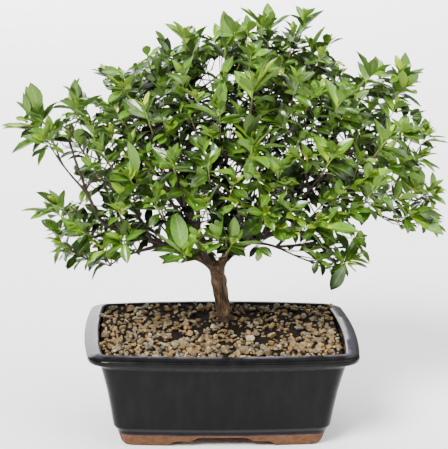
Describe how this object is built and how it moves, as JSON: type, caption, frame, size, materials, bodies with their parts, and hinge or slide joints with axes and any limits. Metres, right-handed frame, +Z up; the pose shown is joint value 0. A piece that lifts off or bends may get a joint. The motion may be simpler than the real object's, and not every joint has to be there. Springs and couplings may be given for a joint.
{
  "type": "gardenia bonsai in a rectangular pot",
  "caption": "Small gardenia tree trained as a bonsai, with a forked trunk, leafy green shoots and a gravel-topped glazed rectangular pot on four feet.",
  "frame": {"origin": "centre of the underside of the whole object's bounding box, on the surface that the pot stands on", "axes": "+Z up, along the trunk; +X to the right seen from the front, along the pot's long side; +Y to the back"},
  "size_m": [0.3348, 0.2034, 0.3146],
  "materials": {
    "pot_glaze": "dark blue-grey gloss glaze on the outside and rim, unglazed tan clay on the feet",
    "drain_mesh": "black plastic mesh",
    "soil": "dark damp earth, matt",
    "gravel_stones": "mixed small stones, tan, beige, ochre and grey-green, matt",
    "bark": "grey-brown fissured bark",
    "leaves": "glossy green leaves, yellow-green when young, with pale midribs"
  },
  "bodies": {
    "root": {"drain_screen_left": "drain_mesh", "drain_screen_right": "drain_mesh", "gravel": "gravel_stones", "pot": "pot_glaze", "soil": "soil", "spray_back_far_left": "leaves", "spray_back_far_right": "leaves", "spray_back_left_high": "leaves", "spray_back_left_in": "leaves", "spray_back_left_low": "leaves", "spray_back_low": "leaves", "spray_back_middle": "leaves", "spray_back_outer_right": "leaves", "spray_back_right_high": "leaves", "spray_back_right_in": "leaves", "spray_back_right_low": "leaves", "spray_back_top_left": "leaves", "spray_back_top_right": "leaves", "spray_drooping": "leaves", "spray_far_left": "leaves", "spray_front_crown": "leaves", "spray_front_far_left": "leaves", "spray_front_foot": "leaves", "spray_front_heart": "leaves", "spray_front_heart_right": "leaves", "spray_front_left_high": "leaves", "spray_front_left_in": "leaves", "spray_front_left_low": "leaves", "spray_front_left_mid": "leaves", "spray_front_low_left": "leaves", "spray_front_lowest": "leaves", "spray_front_middle": "leaves", "spray_front_right_foot": "leaves", "spray_front_right_high": "leaves", "spray_front_right_low": "leaves", "spray_front_right_mid": "leaves", "spray_front_right_out": "leaves", "spray_front_top": "leaves", "spray_front_top_left": "leaves", "spray_front_top_right": "leaves", "spray_front_under": "leaves", "spray_front_upright": "leaves", "spray_front_whorl": "leaves", "spray_left_foot": "leaves", "spray_left_low": "leaves", "spray_left_peak": "leaves", "spray_left_shoulder": "leaves", "spray_low_left": "leaves", "spray_right_end": "leaves", "spray_right_far": "leaves", "spray_right_low": "leaves", "spray_right_peak": "leaves", "spray_right_shoulder": "leaves", "spray_top": "leaves", "spray_top_left": "leaves", "spray_top_middle": "leaves", "spray_top_right": "leaves", "spray_upper_left": "leaves", "spray_upper_right": "leaves", "wood": "bark"}
  },
  "joints": []
}
